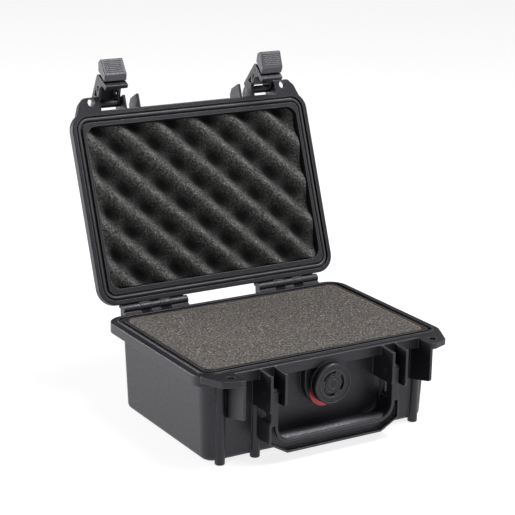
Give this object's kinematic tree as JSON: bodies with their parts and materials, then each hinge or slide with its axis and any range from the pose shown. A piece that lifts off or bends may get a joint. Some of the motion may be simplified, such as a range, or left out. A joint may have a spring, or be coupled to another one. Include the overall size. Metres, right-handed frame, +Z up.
{
  "type": "hard equipment case",
  "caption": "Small rectangular moulded hard case with hinged lid, O-ring seal, pull latches, folding carry handle, automatic pressure vent, convoluted lid foam and cubed tub foam.",
  "frame": {"origin": "centre of the flat raised panel under the tub, on the surface that the case stands on", "axes": "+X to the right seen from the front, along the hinge axis; +Y from the latch side to the hinge side; +Z up"},
  "size_m": [0.206, 0.2343, 0.2503],
  "materials": {
    "case_plastic": "fine matte moulded texture",
    "latch_plastic": "fine matte moulded texture",
    "vent_plastic": "satin moulded plastic",
    "pin_steel": "plain steel pin",
    "tub_foam": "open-cell polyurethane foam, dry and speckled",
    "lid_foam": "open-cell convoluted polyurethane foam",
    "seal_rubber": "smooth elastomer",
    "red_washer": "smooth red plastic",
    "membrane": "white breathable film"
  },
  "bodies": {
    "base": {"base_shell": "case_plastic", "base_pad": "tub_foam", "pluck_foam": "tub_foam", "hinge_pin_left": "pin_steel", "hinge_pin_right": "pin_steel", "handle_pin_left": "pin_steel", "handle_pin_right": "pin_steel", "vent_body": "vent_plastic", "vent_cap": "vent_plastic", "vent_nut": "vent_plastic", "vent_membrane": "membrane", "vent_gasket": "seal_rubber", "vent_red_ring": "red_washer"},
    "lid": {"lid_shell": "case_plastic", "lid_seal": "seal_rubber", "lid_foam": "lid_foam", "latch_pin_left": "pin_steel", "latch_pin_right": "pin_steel"},
    "handle": {"handle": "case_plastic"},
    "latch_left": {"latch_body_left": "case_plastic", "lever_pin_left": "pin_steel"},
    "lever_left": {"latch_lever_left": "latch_plastic"},
    "latch_right": {"latch_body_right": "case_plastic", "lever_pin_right": "pin_steel"},
    "lever_right": {"latch_lever_right": "latch_plastic"}
  },
  "joints": [
    {"name": "lid_hinge", "type": "hinge", "parent": "base", "child": "lid", "pos_m": [0, 0.0776, 0.0721], "axis": [1, 0, 0], "range_deg": [0, 110.5]},
    {"name": "handle_pivot", "type": "hinge", "parent": "base", "child": "handle", "pos_m": [0, -0.078, 0.052], "axis": [1, 0, 0], "range_deg": [-95, 0]},
    {"name": "latch_left_pivot", "type": "hinge", "parent": "lid", "child": "latch_left", "pos_m": [-0.067, 0.13838, 0.21496], "axis": [1, 0, 0], "range_deg": [-75, 43]},
    {"name": "lever_left_pivot", "type": "hinge", "parent": "latch_left", "child": "lever_left", "pos_m": [-0.067, 0.13281, 0.23509], "axis": [1, 0, 0], "range_deg": [-35, 0]},
    {"name": "latch_right_pivot", "type": "hinge", "parent": "lid", "child": "latch_right", "pos_m": [0.067, 0.13838, 0.21496], "axis": [1, 0, 0], "range_deg": [-89, 29]},
    {"name": "lever_right_pivot", "type": "hinge", "parent": "latch_right", "child": "lever_right", "pos_m": [0.067, 0.12811, 0.23315], "axis": [1, 0, 0], "range_deg": [-35, 0]}
  ]
}
